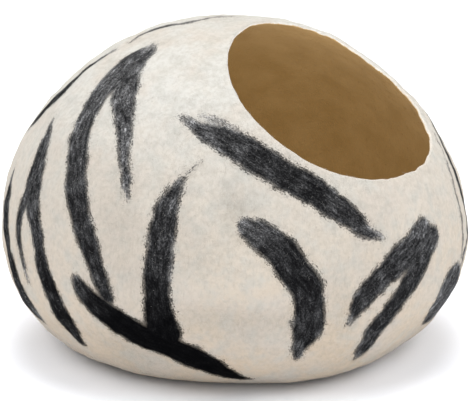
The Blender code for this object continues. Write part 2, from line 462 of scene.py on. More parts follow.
STRIPES: dict[str, Stations] = {
    # upper left: a long hook that leans over the shoulder and runs down the side, with an inner prong
    "shoulder_hook": ((163, 68.6, 7, 0.32), (167, 65, 24, 0.48), (166.5, 61.3, 38, 0.57),
        (167.3, 54.8, 35, 0.57), (167.8, 46.4, 27, 0.56), (171, 38, 26, 0.6), (175, 30, 26, 0.66),
        (178.5, 23, 27, 0.72), (-178, 16, 24.5, 0.77), (-174.6, 10, 23, 0.79), (-171.6, 3, 18.5, 0.8),
        (-169.6, -4, 17, 0.84)),
    "shoulder_prong": ((172, 60, 20, 0.58), (178, 52, 29, 0.6), (-178, 47, 24, 0.6), (-173, 40, 18, 0.6),
        (-170.2, 34, 13.5, 0.58), (-167.5, 28, 11.5, 0.54), (-166.2, 23, 5, 0.46)),
    # low left: a broad boat that runs under the bowl
    "low_boat": ((-178.4, 0.4, 13, 0.62), (-175.8, -4.6, 21.5, 0.88), (-171, -11, 29, 1.1),
        (-166, -16.9, 33, 1.35), (-161, -21.1, 34, 1.4), (-155, -25, 34.5, 1.4),
        (-149.5, -29.5, 32.5, 1.4), (-143.2, -35.4, 23, 1.4), (-138.5, -39.6, 12, 1.35),
        (-135, -41, 4, 1.1)),
    # a stem that rises out of the boat and ends in a wisp
    "stem": ((-147.6, 33.5, 1.5, 0.3), (-149.8, 31.5, 2.5, 0.34), (-151.9, 29.3, 6, 0.44),
        (-153.5, 26, 14, 0.56), (-155.3, 21, 24, 0.7), (-156.1, 15, 26, 0.76), (-156.8, 8, 26, 0.82),
        (-157, 0, 27.5, 0.92), (-156.9, -8, 30, 1.08), (-156.3, -17, 37, 1.25)),
    # the long slanting stripe under the mouth
    "under_mouth": ((-155.9, 45.5, 3, 0.34), (-151.6, 44.1, 10, 0.46), (-147, 41.7, 18, 0.56),
        (-140.3, 39.2, 28, 0.68), (-133.3, 35.2, 30, 0.78), (-126.3, 30.4, 29.5, 0.82),
        (-120.3, 26.3, 29.5, 0.86), (-115.4, 22.2, 27.5, 0.82), (-110.7, 17.5, 23, 0.7),
        (-106.8, 13.2, 14, 0.58), (-103, 11.5, 5, 0.4)),
    "under_mouth_feather": ((-149, 46.3, 4, 0.3), (-145, 45.3, 8, 0.33), (-140, 43, 10, 0.35),
        (-135, 39.5, 8, 0.4)),
    "stem_feather": ((-153, 18, 3, 0.45), (-153.9, 12, 8, 0.56), (-154.4, 5, 8, 0.58),
        (-154.7, -1, 5, 0.56)),
    # the bent stripe in the middle of the front
    "front_bend": ((-136.4, 17.4, 18, 0.5), (-132.9, 15, 28.5, 0.68), (-129.1, 11.5, 32, 0.84),
        (-126.2, 6.4, 32, 0.9), (-123.2, 1.2, 32, 0.87), (-122.6, -8, 32, 0.85), (-122.6, -15, 33, 0.82),
        (-123.9, -22.5, 19, 0.8), (-124.6, -29, 9, 0.7)),
    # front right: two legs from one shoulder
    "right_near_leg": ((-89, 10.5, 25, 0.58), (-93.6, 7, 32, 0.7), (-99, 4.2, 31, 0.73),
        (-104.3, 1.1, 26, 0.73), (-108.4, -4, 24, 0.7), (-111, -10.8, 15.5, 0.72), (-112.2, -17, 5, 0.6)),
    "right_far_leg": ((-86, 8, 22, 0.6), (-92, 1.8, 27, 0.72), (-96.8, -5.2, 24, 0.82),
        (-101, -13, 22, 0.82), (-104.4, -21.2, 23, 0.76), (-105.7, -29.2, 20, 0.7), (-107, -34, 8, 0.58)),
    # left side: a tall forked stripe
    "left_tall": ((152, 37, 5, 0.5), (155.6, 31, 17, 0.62), (158.8, 24, 27.5, 0.66), (161.2, 18, 31, 0.68),
        (164.8, 13, 23, 0.7), (168.2, 7, 20.5, 0.78), (170, 0, 24, 0.86), (172.5, -8, 25.5, 0.94),
        (174.1, -16, 25.5, 0.96), (175.4, -24, 26, 0.96), (176.2, -30, 17, 0.84)),
    "left_fork": ((158.8, 22, 14, 0.66), (158.4, 17, 18, 0.68), (157.7, 12.5, 18, 0.7),
        (157.8, 7, 14, 0.72), (159.3, 2, 11, 0.66), (161, -3, 8, 0.56), (162.7, -9, 4, 0.44)),
    "left_edge": ((140.8, 18, 11, 0.6), (143.6, 12, 19, 0.75), (145.9, 8, 22, 0.8), (148, 4, 23, 0.8),
        (149.6, -1, 26, 0.88), (152.2, -8, 31, 0.88), (154.9, -15, 36, 0.82), (157, -21.5, 36, 0.74),
        (159.2, -26.5, 20, 0.62)),
    # over the left shoulder, seen edge-on
    "shoulder_edge": ((133, 30, 8, 0.5), (135, 35, 17, 0.8), (138, 42, 18, 0.8), (138, 49, 13, 0.72),
        (138, 55, 9, 0.62), (138, 61, 6, 0.42)),
    "crown_edge": ((139, 66, 5, 0.42), (134, 70, 8, 0.52), (130, 76, 9, 0.56), (126, 82, 8, 0.54),
        (90, 86, 7, 0.48), (20, 86, 5, 0.35)),
    # right side, seen edge-on: a thin pair and a broad patch under them
    "right_edge_outer": ((-50, 33, 4, 0.5), (-54, 28, 11, 0.72), (-57, 20, 12, 0.74), (-59, 13, 12, 0.74),
        (-60, 5, 11, 0.72), (-62.5, -3, 10, 0.66), (-66, -9, 9, 0.6)),
    "right_edge_inner": ((-60, 29, 3, 0.4), (-63, 22.5, 4.5, 0.5), (-65, 16, 5, 0.55), (-67, 9, 5.5, 0.55),
        (-68, 2, 6, 0.55), (-69, -4, 7, 0.55)),
    "right_edge_low": ((-72, -14.6, 8, 0.5), (-73, -16.6, 44, 0.55), (-75, -19.2, 62, 0.57),
        (-77.6, -23, 46, 0.58), (-80.8, -27.8, 12, 0.55)),
    # the unseen back and right, finished in the same style
    "right_flank_long": ((-30, 46, 5, 0.4), (-32, 36, 17, 0.7), (-35, 25, 24, 0.8), (-36, 13, 26, 0.85),
        (-34, 1, 27, 0.9), (-38, -11, 24, 0.95), (-43, -23, 15, 0.9), (-45, -32, 5, 0.6)),
    "right_flank_bend": ((-14, 30, 14, 0.6), (-11, 22, 25, 0.8), (-12, 13, 30, 0.85), (-15, 3, 29, 0.9),
        (-19, -6, 24, 0.9), (-20, -16, 15, 0.8), (-19, -25, 5, 0.5)),
    "right_flank_short": ((-7, -10, 5, 0.5), (-3, -16, 20, 0.9), (3, -21, 27, 1), (9, -27, 22, 1),
        (14, -33, 7, 0.7)),
    "back_right_hook": ((6, 58, 6, 0.3), (10, 50, 22, 0.55), (13, 40, 30, 0.7), (12, 29, 27, 0.8),
        (8, 19, 21, 0.8), (6, 10, 13, 0.7), (5, 2, 4, 0.4)),
    "back_right_prong": ((15, 36, 20, 0.6), (22, 28, 22, 0.75), (27, 18, 21, 0.8), (29, 7, 22, 0.85),
        (27, -5, 21, 0.9), (29, -17, 16, 0.9), (32, -27, 5, 0.6)),
    "back_long": ((55, 68, 5, 0.3), (50, 59, 18, 0.5), (46, 48, 25, 0.65), (44, 37, 27, 0.75),
        (45, 25, 25, 0.8), (48, 13, 26, 0.85), (50, 1, 28, 0.9), (48, -11, 24, 0.95), (46, -23, 14, 0.9),
        (46, -31, 5, 0.6)),
    "back_bend": ((78, 55, 6, 0.3), (73, 47, 22, 0.55), (70, 37, 29, 0.7), (69, 27, 30, 0.8),
        (72, 17, 26, 0.8), (76, 8, 17, 0.7), (78, 0, 5, 0.4)),
    "back_low_boat": ((62, -6, 6, 0.6), (67, -12, 22, 0.95), (73, -18, 32, 1), (81, -23, 33, 1),
        (89, -27, 24, 1), (96, -32, 8, 0.8)),
    "back_stem": ((95, 62, 5, 0.3), (96, 52, 17, 0.5), (96, 41, 24, 0.65), (94, 30, 25, 0.75),
        (93, 18, 26, 0.8), (95, 6, 26, 0.9), (98, -5, 20, 0.85), (100, -14, 7, 0.6)),
    "back_left_near_leg": ((117, 42, 22, 0.6), (114, 34, 30, 0.75), (111, 25, 27, 0.8), (108, 15, 21, 0.8),
        (107, 7, 7, 0.5)),
    "back_left_far_leg": ((120, 38, 18, 0.6), (121, 28, 27, 0.8), (123, 17, 28, 0.85), (124, 6, 27, 0.9),
        (123, -6, 24, 0.95), (120, -17, 17, 0.95), (118, -28, 5, 0.6)),
    "back_left_low": ((131, -2, 6, 0.6), (134, -10, 20, 0.95), (138, -18, 25, 1), (142, -26, 16, 0.95),
        (146, -33, 5, 0.6)),
}

# Folds move the felt, and their heights also drive painted shade in their hollows and painted light on
# their ridges.
FOLDS: dict[str, Stations] = {
    # the crown sinks a little beside the mouth
    "crown_dip": ((122, 84, 46, -1.2), (90, 87.5, 60, -2.2), (-10, 87, 60, -2.2), (-40, 83, 44, -1.2)),
    # a soft fold across the front of the bowl, with a hollow under it
    "bowl_ridge": ((-155, -0.5, 20, 0.8), (-149, 0, 24, 2), (-141, 0.5, 26, 2.5), (-133, -1, 26, 2.2),
        (-127, -3, 20, 0.8)),
    "bowl_hollow": ((-154, -9, 20, -1.2), (-147, -9, 24, -2.6), (-139, -9.5, 26, -2.8),
        (-131, -11, 24, -2.2), (-126, -13, 18, -0.8)),
    # a dip at the start of the bent stripe, where the wool puckers
    "front_dip": ((-140.5, 27.5, 14, -1.2), (-139.5, 24, 17, -3), (-138.6, 20, 18, -3.6),
        (-138.2, 15, 15, -1.6)),
    "front_hollow": ((-149, 18, 32, -0.8), (-147, 11, 36, -1.5), (-145, 5, 30, -0.9)),
    "low_left_hollow": ((-176, -24, 26, -1.6), (-168, -29, 32, -2.8), (-160, -33, 26, -2)),
    "low_swell": ((-148, -33, 24, 0.6), (-139, -34.5, 28, 1.4), (-129, -33, 24, 0.6)),
    "right_valley": ((-115.5, 1.5, 17, -0.8), (-114.5, -5, 19, -1.8), (-114.3, -16, 20, -1.6),
        (-116, -24, 16, -0.8)),
    "left_valley": ((-170, 26, 28, -1), (-168, 17, 32, -2.2), (-165, 7, 30, -1.4)),
    "stem_pleat": ((-146, 34, 5, -0.5), (-148.5, 31.8, 5, -1.4), (-151, 29.5, 5, -1.6),
        (-153, 27, 5, -0.8)),
    "shoulder_swell": ((-176, 60, 28, 0.8), (-166, 54, 30, 1.4), (-154, 52, 28, 0.8)),
    "right_swell": ((-98, 22, 28, 0.8), (-92, 14, 28, 1.3), (-84, 6, 26, 0.8)),
    "back_fold": ((40, 5, 26, 0.8), (52, 3, 28, 2), (65, 4, 28, 1.8), (76, 7, 24, 0.6)),
    "back_hollow": ((44, -6, 26, -1), (56, -8, 28, -2.2), (68, -7, 26, -1.2)),
    "back_pucker": ((20, 30, 16, -0.8), (18, 24, 18, -2.2), (17, 18, 16, -1)),
}


@dataclass(frozen=True)
class WoolLayout:
    """Where the charcoal lies and where the felt is folded."""

    stripes: tuple[Trail, ...] = tuple(Trail(stations) for stations in STRIPES.values())
    folds: tuple[Trail, ...] = tuple(Trail(stations) for stations in FOLDS.values())
    stripe_margin: float = 0.03     # wool further from a stripe than this doesn't feel it
    fold_margin: float = 0.05

    def charcoal(self, pebble: Pebble, points: Array) -> tuple[Array, Array, Array]:
        """Measures points against all stripes.

        Args:
            pebble: the surface that the stripes lie on.
            points: (n, 3) places.

        Returns:
            Distance to the nearest edge in mm (n,), negative inside a stripe, the cover (n,) and the
            places along and across the stripe (n, 3), in metres, each stripe at a depth of its own.
        """
        distance = np.full(len(points), FAR_MM)
        cover = np.ones(len(points))
        comb = np.zeros((len(points), 3))
        for number, stripe in enumerate(self.stripes):
            found = stripe.reach(pebble, points, self.stripe_margin, edge=True)
            nearer = found.apart / MM < distance[found.near]
            rows = found.near[nearer]
            distance[rows] = found.apart[nearer] / MM
            cover[rows] = found.amount[nearer]
            comb[rows, :2] = found.comb[nearer]
            comb[rows, 2] = number
        return distance, cover, comb

    def fold_height(self, pebble: Pebble, points: Array) -> Array:
        """Height of the folds, in mm, at each of the (n, 3) points."""
        height = np.zeros(len(points))
        for fold in self.folds:
            found = fold.reach(pebble, points, self.fold_margin, edge=False)
            height[found.near] += found.amount * bell(found.apart, found.half)
        return height


# ---- Finishes ----

@dataclass(frozen=True)
class WetFelt:
    """Thick wet-felted wool: fulled by hand, matt, mottled, with hair matted into its skin.

    It scatters light softly and shows a pale bloom at grazing angles from its short hair. Cream,
    charcoal and camel wool are one fabric, so one material holds all three and mixes them where
    their fibres cross.
    """

    cream: str = "#C5C3BD"
    cream_painted_low_shade: str = "#C3B39F"      # painted shade: the cream turns warmer and darker towards the floor
    cream_warm: str = "#C0B7AC"
    cream_grey: str = "#B3B1A9"
    cream_painted_shade: str = "#9A9388"    # painted shade in pores, hollows and folds
    charcoal: str = "#030304"
    charcoal_pale: str = "#CECED0"  # the pale hairs carded into the charcoal
    camel: str = "#AE905E"
    camel_dark: str = "#A38553"
    roughness: float = 0.96
    specular: float = 0.02
    sheen: float = 0.18
    sheen_roughness: float = 0.45
    relief: tuple[float, float] = (0.9, 0.0010)     # strength and depth of the skin's relief
    fibre_share: float = 0.42       # of the relief, the rest is small lumps
    # noise: its roughness, and its detail for strands, lumps and clouds
    grain: float = 0.55
    strand_detail: float = 2.0
    lump_detail: float = 3.0
    cloud_detail: float = 4.0
    patch_mm: float = 48.0          # soft clouds of uneven wool
    camel_mm: float = 30.0
    cloud_mm: float = 15.0
    pebble_mm: float = 4.5          # the skin's small lumps
    fibre_mm: float = 1.7           # single matted fibres, drawn about a pixel wide so that they show
    fibre_grain: tuple[float, float] = (0.6, 0.3)       # roughness and distortion
    fibre_drawn: tuple[float, float, float] = (1.0, 1.0, 0.28)
    fibre_slants: tuple[tuple[float, float, float], ...] = (
        (0.4, 0.2, 0.0), (-0.5, 0.9, 0.6), (1.1, -0.4, 1.4))
    strands: tuple[float, float] = (1.15, 1.6)      # charcoal fibres: mm across, times longer along
    locks: tuple[float, float] = (3.4, 3.5)         # locks of several fibres
    edge_mm: float = 3.0            # how softly a stripe's edge fades
    edge_out_mm: float = 0.6        # and how far outside the trail it lies
    edge_ragged_mm: float = 2.8     # how far locks carry the edge in and out
    halo_mm: float = 6.0            # stray charcoal fibres reach this far over the cream
    # how noise or a measure becomes a share or a tone
    fibre_fade: Fade = (0.35, 0.80, 0.0, 1.0)
    comb_fade: Fade = (0.28, 0.72, 0.0, 1.0)
    camel_fade: Fade = (0.35, 0.65, 0.0, 1.0)
    inner_fray: Fade = (0.3, 0.7, -0.1, 0.1)        # fibres carry the camel's edge in and out
    inner_fade: Fade = (0.60, 0.74, 0.0, 1.0)
    painted_low_shade_wander: Fade = (0.3, 0.7, -0.03, 0.03)      # clouds carry the height of the painted low shade up and down, metres
    painted_low_shade_fade: Fade = (0.03, 0.27, 1.0, 0.0)         # heights over which the painted shade towards the floor fades out
    warm_fade: Fade = (0.46, 0.64, 0.0, 0.75)
    grey_fade: Fade = (0.48, 0.66, 0.0, 0.5)
    # painted shade in pores and in the low parts of the small lumps
    painted_pore_shade_fade: Fade = (0.05, 0.50, 0.20, 0.0)
    painted_hollow_shade_fade: Fade = (0.35, 0.60, 0.24, 0.0)
    painted_fold_shade_and_light_fade: Fade = (-3.2, 1.6, 0.36, -0.12)      # painted shade in fold hollows and painted light on fold ridges, by their height in mm
    edge_loose: Fade = (-3.8, 0.5, 0.0, 0.72)       # gaps near the edge, and where the cover is thin
    thin_loose: Fade = (0.25, 0.48, 0.9, 0.0)
    stray_share: float = 0.22       # of them next to the stripe
    stray_strands: Fade = (0.5, 0.1, 0.0, 1.0)
    # the charcoal's paleness is e to the sum of these
    pale_cover: Fade = (0.0, 1.4, 0.36, -6.36)
    pale_strands: Fade = (0.0, 1.0, -1.1, 1.1)
    pale_locks: Fade = (0.0, 1.0, -0.95, 0.95)
    pale_clouds: Fade = (0.3, 0.7, -0.8, 0.8)

    def material(self) -> bpy.types.Material:
        """Builds the material for the whole felt wall."""
        made = bpy.data.materials.new("wet_felted_wool")
        node = blank(made)
        place = node(Kind.PLACE)
        fibres = self._fibres(node, place)
        pebbles = node(Kind.NOISE, place, per_size(self.pebble_mm), self.lump_detail, self.grain)
        clouds = node(Kind.NOISE, place, per_size(self.cloud_mm), self.cloud_detail, self.grain)
        laid, charcoal = self._charcoal(node, clouds)
        cream = self._cream(node, place, clouds, fibres, pebbles)
        outside = node(Kind.BLEND, laid, cream, charcoal)
        soft = node(Kind.NOISE, place, per_size(self.camel_mm), self.cloud_detail, self.grain)
        camel = node(Kind.BLEND, node(Kind.FADE, soft, *self.camel_fade),
                     linear(self.camel), linear(self.camel_dark))
        inner = node(Kind.STORED, attribute_name="inner_layer")
        frayed = node(Kind.SUM, inner, node(Kind.FADE, fibres, *self.inner_fray))
        colour = node(Kind.BLEND, node(Kind.FADE, frayed, *self.inner_fade), outside, camel)
        normal = node(Kind.BUMP, *self.relief, node(Kind.MIX, self.fibre_share, pebbles, fibres))
        sheen = node(Kind.FADE, laid, 0.0, 1.0, self.sheen, 0.0)
        node(Kind.FINISH, node(Kind.SURFACE, colour, self.roughness, self.specular, sheen,
                               self.sheen_roughness, linear(self.cream), normal))
        return made

    def _fibres(self, node: AddNode, place: Socket) -> Socket:
        """Matted fibres: fine noise drawn out along three slants, the strongest at each place."""
        drawn = [
            node(Kind.NOISE, node(Kind.DRAWN, place, self.fibre_drawn, slant), per_size(self.fibre_mm),
                 self.strand_detail, *self.fibre_grain)
            for slant in self.fibre_slants
        ]
        return node(Kind.FADE, reduce(partial(node, Kind.LARGER), drawn), *self.fibre_fade)

    def _cream(
        self, node: AddNode, place: Socket, clouds: Socket, fibres: Socket, pebbles: Socket,
    ) -> Socket:
        """Cream wool: painted shade towards the floor, warm and grey clouds, painted shade in pores,
        hollows and folds, painted light on fold ridges.

        Args:
            node: adds a node to the material.
            place: the piece's own coordinates.
            clouds: soft uneven tone.
            fibres: how much matted fibre stands up.
            pebbles: height of the skin's small lumps.

        Returns:
            The colour output.
        """
        # painted shade: the cream turns warmer and darker towards the floor
        level = node(Kind.SUM, node(Kind.HEIGHT, place), node(Kind.FADE, clouds, *self.painted_low_shade_wander))
        patches = node(Kind.NOISE, place, per_size(self.patch_mm), self.lump_detail, self.grain)
        cream = linear(self.cream)
        for value, fade, tone in (
            (level, self.painted_low_shade_fade, self.cream_painted_low_shade),
            (patches, self.warm_fade, self.cream_warm),
            (clouds, self.grey_fade, self.cream_grey),
        ):
            cream = node(Kind.BLEND, node(Kind.FADE, value, *fade), cream, linear(tone))
        # painted shade in pores, lump hollows and fold hollows, and painted light on fold ridges
        painted_pit_shade = reduce(partial(node, Kind.SUM), (
            node(Kind.FADE, fibres, *self.painted_pore_shade_fade),
            node(Kind.FADE, pebbles, *self.painted_hollow_shade_fade),
            node(Kind.FADE, node(Kind.STORED, attribute_name="fold_mm"), *self.painted_fold_shade_and_light_fade),
        ))
        return node(Kind.BLEND, painted_pit_shade, cream, linear(self.cream_painted_shade))

    def _charcoal(self, node: AddNode, clouds: Socket) -> tuple[Socket, Socket]:
        """Charcoal wool combed along its stripe: dense and black, or thin enough to show the cream.

        Args:
            node: adds a node to the material.
            clouds: soft uneven tone.

        Returns:
            How much charcoal covers the cream, and the charcoal's colour.
        """
        away = node(Kind.STORED, attribute_name="stripe_mm")
        cover = node(Kind.STORED, attribute_name="stripe_cover")
        combed = node(Kind.STORED_VECTOR, attribute_name="stripe_comb")
        strands, locks = (self._combed(node, combed, *size) for size in (self.strands, self.locks))
        half = self.edge_ragged_mm / 2
        edge = reduce(partial(node, Kind.SUM), (
            away,
            node(Kind.FADE, locks, 0.0, 1.0, -half, half),
            node(Kind.FADE, strands, 0.0, 1.0, -half, half),
        ))
        inside = node(Kind.FADE, edge, self.edge_mm / 2 + self.edge_out_mm,
                      -self.edge_mm / 2 + self.edge_out_mm, 0.0, 1.0)
        loose = node(Kind.SUM, node(Kind.FADE, away, *self.edge_loose),
                     node(Kind.FADE, cover, *self.thin_loose))
        laid = node(Kind.LESS, inside, node(Kind.PRODUCT, loose, strands))
        stray = node(Kind.PRODUCT, node(Kind.FADE, away, self.halo_mm, 0.0, 0.0, self.stray_share),
                     node(Kind.FADE, strands, *self.stray_strands))
        laid = node(Kind.LARGER, laid, stray, use_clamp=True)
        paleness = reduce(partial(node, Kind.SUM), (
            node(Kind.FADE, cover, *self.pale_cover),
            node(Kind.FADE, strands, *self.pale_strands),
            node(Kind.FADE, locks, *self.pale_locks),
            node(Kind.FADE, clouds, *self.pale_clouds),
        ))
        pale = node(Kind.POWER_OF_E, paleness)
        return laid, node(Kind.BLEND, pale, linear(self.charcoal), linear(self.charcoal_pale))

    def _combed(self, node: AddNode, combed: Socket, size_mm: float, stretch: float) -> Socket:
        """Wool combed along a stripe: noise size_mm across and stretch times longer, 0 to 1."""
        drawn = node(Kind.DRAWN, combed, (1 / stretch, 1.0, 1.0))
        strands = node(Kind.NOISE, drawn, per_size(size_mm), self.strand_detail, self.grain)
        return node(Kind.FADE, strands, *self.comb_fade)


@dataclass(frozen=True)
class LooseWool:
    """Single wool hairs that stand off the felt: matt, with a faint sheen, uneven in tone."""

    name: str
    dark: str
    light: str
    roughness: float = 0.85
    specular: float = 0.05
    sheen: float = 0.2
    tone_mm: float = 7.0
    tone_detail: float = 2.0
    tone_fade: tuple[float, float] = (0.35, 0.65)

    def material(self) -> bpy.types.Material:
        """Builds the material for one coat of hairs."""
        made = bpy.data.materials.new(self.name)
        node = blank(made)
        tone = node(Kind.NOISE, node(Kind.PLACE), per_size(self.tone_mm), self.tone_detail)
        colour = node(Kind.BLEND, node(Kind.FADE, tone, *self.tone_fade),
                      linear(self.dark), linear(self.light))
        node(Kind.FINISH, node(Kind.SURFACE, colour, self.roughness, self.specular, self.sheen))
        return made


# ---- The felt wall ----

class LoopMesh:
    """A closed skin made of loops of points, from one pole to the other."""

    def __init__(self, loops: list[Array]) -> None:
        """Joins each (n, 3) loop to the next one. A pole is a loop of one point."""
        self.points = np.vstack(loops)
        self.faces: list[tuple[int, ...]] = []
        ends = np.cumsum([0, *map(len, loops)])
        numbers = [np.arange(first, end) for first, end in zip(ends, ends[1:])]
        for low, high in zip(numbers, numbers[1:]):
            self.faces += [tuple(face) for face in self._between(low, high).tolist()]

    @staticmethod
    def _between(low: Array, high: Array) -> Array:
        """Faces between two loops whose lengths are the same, 1 to 4, or one of which is a pole."""
        if len(low) == len(high):
            return np.stack([low, np.roll(low, -1), np.roll(high, -1), high], axis=1)
        if len(low) == 1:
            return np.stack([np.repeat(low, len(high)), np.roll(high, -1), high], axis=1)
        if len(high) == 1:
            return np.stack([low, np.roll(low, -1), np.repeat(high, len(low))], axis=1)
        coarse, fine = sorted((low, high), key=len)
        after = np.roll(coarse, -1)
        f0, f1, f2, f3, f4 = (np.roll(fine, -k)[::4] for k in range(5))
        fill = np.stack([
            (coarse, f1, f0), (coarse, f2, f1), (coarse, after, f2), (after, f3, f2), (after, f4, f3),
        ]).transpose(2, 0, 1).reshape(-1, 3)
        return fill[:, ::-1] if coarse is high else fill

    def mesh(self, name: str) -> bpy.types.Mesh:
        """Makes the mesh, with its faces pointing outwards."""
        made = bpy.data.meshes.new(name)
        made.from_pydata(self.points.tolist(), [], self.faces)
        fans = np.array([(f[0], f[k], f[k + 1]) for f in self.faces for k in range(1, len(f) - 1)])
        a, b, c = self.points[fans.T]
        if np.einsum("ij,ij->i", a, np.cross(b, c)).sum() < 0:
            made.flip_normals()
        made.validate()
        return made


@dataclass
class FeltShell:
    """The whole cave: a fine outer skin, a rubbed round lip and a plainer inner skin."""

    pebble: Pebble
    finish: WetFelt
    around: int = 456
    rings: int = 180
    coarser: int = 4
    foot_shares: tuple[float, ...] = (0.0, 0.3, 0.6, 0.9)       # of the radius, 0 is the pole
    floor_shares: tuple[float, ...] = (0.75, 0.5, 0.25, 0.0)
    wall: float = 0.005
    lip_wall: float = 0.0034        # the felt thins towards the lip
    thin_reach: float = 0.16        # share of the way over which it thins
    lift_mm: float = 2.4            # the far side of the lip curls up
    lift_bearing: float = 55.0
    lift_spread: float = 45.0
    lip_steps: int = 6
    lip_reach: float = 0.10         # share of the way over which the lip is drawn back
    nibble: Relief = ((17, 1.1), (7, 0.8))          # the mouth's edge is cut by hand
    nibble_least: float = 0.35      # share of the nibbling far from its roughest place
    nibble_bearing: float = -62.0   # where the cut edge of the mouth is roughest
    nibble_spread: float = 28.0
    outer_relief: Relief = ((70, 1.4), (30, 1.5), (13, 0.8), (6, 0.3))
    inner_relief: Relief = ((60, 0.8), (24, 0.4))
    clear_height: float = 0.012     # lumps fade out below it, towards the floor
    edge_wander: Relief = ((16, 1.5), (7, 1.5))     # how far a stripe's edge strays
    layout: WoolLayout = field(default_factory=WoolLayout)
    area: float = 0.0

    def build(self) -> bpy.types.Object:
        """Makes the dressed shell.

        Returns:
            The finished piece, with the attributes that its wool and its hair read.
        """
        way = np.linspace(0, 1, self.rings + 1)[:, None] + np.zeros((1, self.around))
        turn = np.linspace(0, 2 * math.pi, self.around, endpoint=False)[None, :] + np.zeros_like(way)
        smooth = self.pebble.wall(way, turn)
        along, normal = self._directions(smooth)
        ease = self._lip_ease(way, self.lip_reach)
        drawn, lifted = ease * self._lip_draw(smooth[-1]), ease * self._lip_lift(smooth[-1])
        smooth = smooth + along * drawn[..., None] + normal * lifted[..., None]
        outer = self._felted(smooth, normal, self.outer_relief, seed=3.0)
        outer = outer + normal * (self._fold_height(outer) * MM)[..., None]
        foot = self._disc(outer[0, ::self.coarser], self.foot_shares)
        lip = self._lip(outer[-1], along[-1], normal[-1])
        inner = self._inner(smooth, normal, way)
        floor = self._disc(inner[-1], self.floor_shares)
        rings = [*foot, *outer, *lip, *inner, *floor]
        over_lip = [(step + 1) / len(lip) for step in range(len(lip))]
        depths = [0.0] * (len(foot) + len(outer)) + over_lip + [1.0] * (len(inner) + len(floor))
        skin = LoopMesh(rings)
        mesh = skin.mesh("felt_shell_wool")
        self._mark(mesh, skin.points, np.repeat(depths, [len(ring) for ring in rings]))
        mesh.materials.append(self.finish.material())
        mesh.shade_smooth()
        self.area = sum(face.area for face in mesh.polygons) / 2
        return add_object("felt_shell_wool", mesh)

    def _directions(self, grid: Array) -> tuple[Array, Array]:
        """Directions up the rings and outwards, both (rings, around, 3) and of length 1."""
        along = np.gradient(grid, axis=0)
        normal = unit(np.cross(np.roll(grid, -1, axis=1) - np.roll(grid, 1, axis=1), along))
        middle = np.array([0, 0, self.pebble.girth_height])
        if (normal * (grid - middle)).sum() < 0:
            normal = -normal
        return unit(along), normal

    def _lip_ease(self, way: Array, reach: float) -> Array:
        """0 until a reach below the lip, and from there easing to 1 at the lip."""
        return smoothstep((way - 1 + reach) / reach)

    def _lip_draw(self, edge: Array) -> Array:
        """How far the mouth's edge moves towards the mouth, in metres.

        The lip's rounding needs half the wall, and the hand-cut edge is nibbled, most at one corner.
        """
        rough = self.nibble_least + self._near_bearing(edge, self.nibble_bearing, self.nibble_spread)
        return -self.lip_wall / 2 + lumps(edge, self.nibble, seed=11.0) * rough * MM

    def _lip_lift(self, edge: Array) -> Array:
        """How far the mouth's edge curls outwards on its far side, in metres."""
        return self.lift_mm * MM * self._near_bearing(edge, self.lift_bearing, self.lift_spread)

    def _near_bearing(self, edge: Array, bearing: float, spread: float) -> Array:
        """1 where the mouth's edge lies at a bearing from its middle, fading over a spread in degrees."""
        found = np.degrees(np.arctan2(edge[:, 1] - edge[:, 1].mean(), edge[:, 0] - edge[:, 0].mean()))
        return bell((found - bearing + 180) % 360 - 180, spread)

    def _felted(self, grid: Array, normal: Array, relief: Relief, seed: float) -> Array:
        """Adds lumps to a skin, none where it lies on the floor.

        Args:
            grid: (rings, around, 3) points.
            normal: outward directions of the same points.
            relief: width and height of each size of lump, in mm.
            seed: moves the pattern.

        Returns:
            The points moved.
        """
        flat = grid.reshape(-1, 3)
        clear = np.minimum(flat[:, 2] / self.clear_height, 1)
        moved = flat + normal.reshape(-1, 3) * (lumps(flat, relief, seed) * clear * MM)[:, None]
        moved[:, 2] = np.maximum(moved[:, 2], 0)
        return moved.reshape(grid.shape)

    def _fold_height(self, grid: Array) -> Array:
        """Height of the listed folds, in mm, for (rings, around, 3) points."""
        return self.layout.fold_height(self.pebble, grid.reshape(-1, 3)).reshape(grid.shape[:2])

    def _lip(self, edge: Array, along: Array, normal: Array) -> list[Array]:
        """Half-round lip from the outer edge of the mouth over to its inner edge.

        Args:
            edge: (around, 3) last ring of the outer skin.
            along: directions towards the mouth.
            normal: outward directions.

        Returns:
            The lip's rings, the last one on the inner skin.
        """
        half = normal * self.lip_wall / 2
        angles = [math.pi * step / self.lip_steps for step in range(1, self.lip_steps + 1)]
        return [edge - half + half * math.cos(angle) + along * (self.lip_wall / 2 * math.sin(angle))
                for angle in angles]

    def _inner(self, smooth: Array, normal: Array, way: Array) -> list[Array]:
        """Inner skin from just under the lip down to the floor, with fewer points."""
        rows = slice(self.rings - self.coarser, None, -self.coarser)
        grid, out, at = (part[rows, ::self.coarser] for part in (smooth, normal, way))
        thick = self.wall + (self.lip_wall - self.wall) * self._lip_ease(at, self.thin_reach)
        skin = self._felted(grid - out * thick[..., None], out, self.inner_relief, seed=31.0)
        skin[-1, :, 2] = self.wall
        return list(skin)

    @staticmethod
    def _disc(edge: Array, shares: tuple[float, ...]) -> list[Array]:
        """Flat rings inside an (n, 3) ring, at these shares of its radius. Share 0 is the pole."""
        pole = edge.mean(axis=0)
        return [pole[None, :] if share == 0 else pole + (edge - pole) * share for share in shares]

